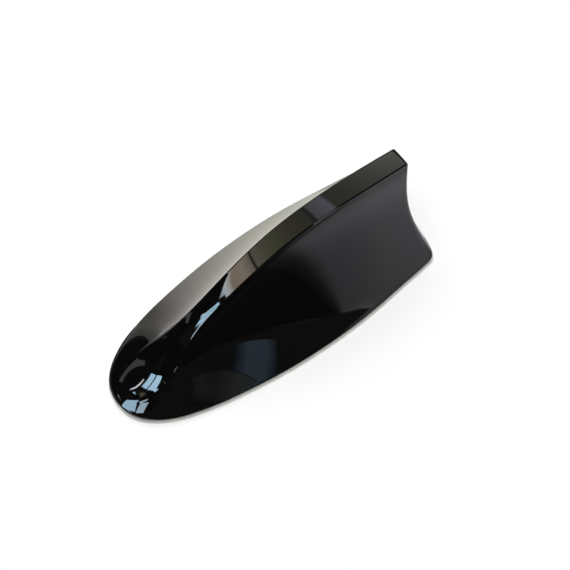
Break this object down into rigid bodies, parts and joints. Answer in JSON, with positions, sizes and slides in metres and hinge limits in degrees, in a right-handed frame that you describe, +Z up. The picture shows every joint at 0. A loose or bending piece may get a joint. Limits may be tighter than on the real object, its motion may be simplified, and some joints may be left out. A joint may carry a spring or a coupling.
{
  "type": "shark fin antenna",
  "caption": "Glossy black shark-fin car roof antenna: a hollow moulded fin with a flat top strip and flared flanks, open underneath, on a foam adhesive ring round its foot.",
  "frame": {"origin": "middle of the bounding box, on the adhesive face under the foot", "axes": "+X towards the tail, -X towards the nose, +Z up from the car's roof, the fin symmetric about Y = 0"},
  "size_m": [0.1666, 0.0706, 0.0665],
  "materials": {
    "gloss_black": "high-gloss piano black",
    "foam": "matt closed-cell foam"
  },
  "bodies": {
    "root": {"fin_shell": "gloss_black", "foam_ring": "foam"}
  },
  "joints": []
}
